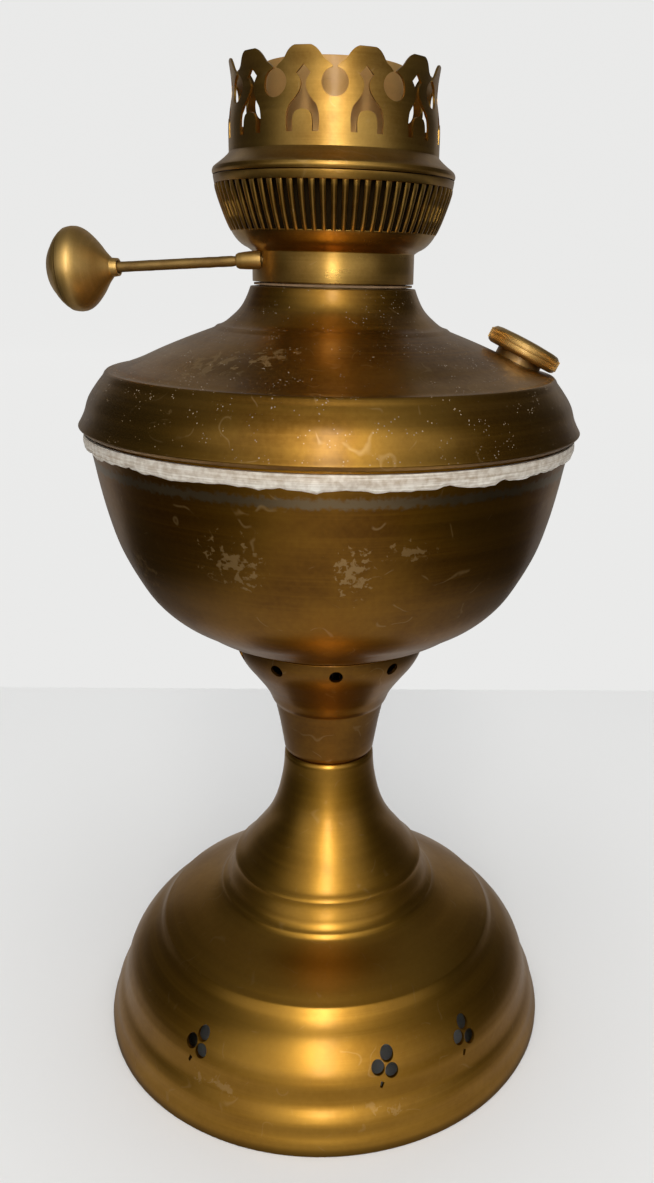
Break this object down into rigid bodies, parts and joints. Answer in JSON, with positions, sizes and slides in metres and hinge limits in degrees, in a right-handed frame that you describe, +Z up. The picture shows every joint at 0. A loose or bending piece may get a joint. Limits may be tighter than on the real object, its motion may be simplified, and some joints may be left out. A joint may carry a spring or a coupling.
{
  "type": "oil lamp",
  "caption": "Brass table oil lamp: spun bell foot, waisted stem, wide oil font with filler cap, screw-in round-wick burner with slotted basket, pronged chimney gallery and side wick winder.",
  "frame": {"origin": "on the lamp's vertical axis, at the plane the foot rests on", "axes": "+Z up along the lamp's axis, +X towards the filler cap, -X towards the wick winder's knob, -Y towards the front"},
  "size_m": [0.1447, 0.14, 0.2797],
  "materials": {
    "aged_brass": "aged, satin",
    "dark_brass": "dark patina, satin",
    "bright_brass": "worn, satin",
    "solder": "dull tin solder",
    "steel": "oiled steel",
    "cork": "pressed cork",
    "cotton": "woven cotton"
  },
  "bodies": {
    "root": {"base_shell": "aged_brass", "stem_cup": "aged_brass", "font_boss": "aged_brass", "tie_rod": "steel", "clamp_plate": "steel", "lock_washer": "steel", "tie_nut": "steel", "font_bowl": "dark_brass", "rim_solder": "solder", "font_shoulder": "dark_brass", "font_collar": "dark_brass", "filler_neck": "aged_brass"},
    "burner_carrier": {"burner_gasket": "cork"},
    "burner": {"burner_thread": "bright_brass", "burner_basket": "bright_brass", "burner_deck": "bright_brass", "outer_wick_tube": "bright_brass", "draft_tube": "bright_brass", "air_duct": "bright_brass", "winder_bush": "bright_brass", "shaft_lug": "bright_brass"},
    "winder": {"winder_shaft": "aged_brass", "star_wheel_1": "aged_brass", "star_wheel_2": "aged_brass", "knob_back": "bright_brass", "knob_face": "bright_brass"},
    "wick": {"wick": "cotton"},
    "gallery": {"gallery": "bright_brass", "chimney_seat": "bright_brass"},
    "cap_carrier": {"filler_washer": "cork"},
    "filler_cap": {"filler_cap": "bright_brass"}
  },
  "joints": [
    {"name": "burner_lift", "type": "slide", "parent": "root", "child": "burner_carrier", "axis": [0, 0, 1], "range_m": [0, 0.11]},
    {"name": "burner_turn", "type": "hinge", "parent": "burner_carrier", "child": "burner", "pos_m": [0, 0, 0.2274], "axis": [0, 0, 1], "range_deg": [0, 720]},
    {"name": "winder_turn", "type": "hinge", "parent": "burner", "child": "winder", "pos_m": [-0.01943, -0.0092, 0.2327], "axis": [0.9818, -0.1767, 0.0698], "range_deg": [-70, 110]},
    {"name": "wick_raise", "type": "slide", "parent": "burner", "child": "wick", "axis": [0, 0, 1], "range_m": [-0.0048, 0.0076], "deforming": ["wick"]},
    {"name": "gallery_lift", "type": "slide", "parent": "burner", "child": "gallery", "axis": [0, 0, 1], "range_m": [0, 0.045]},
    {"name": "filler_cap_lift", "type": "slide", "parent": "root", "child": "cap_carrier", "axis": [0.4384, 0, 0.8988], "range_m": [0, 0.03]},
    {"name": "filler_cap_turn", "type": "hinge", "parent": "cap_carrier", "child": "filler_cap", "pos_m": [0.0512, 0, 0.20787], "axis": [0.4384, 0, 0.8988], "range_deg": [0, 720]}
  ],
  "couplings": [
    {"joint": "winder_turn", "follows": "wick_raise", "rad_per_m": 250}
  ]
}
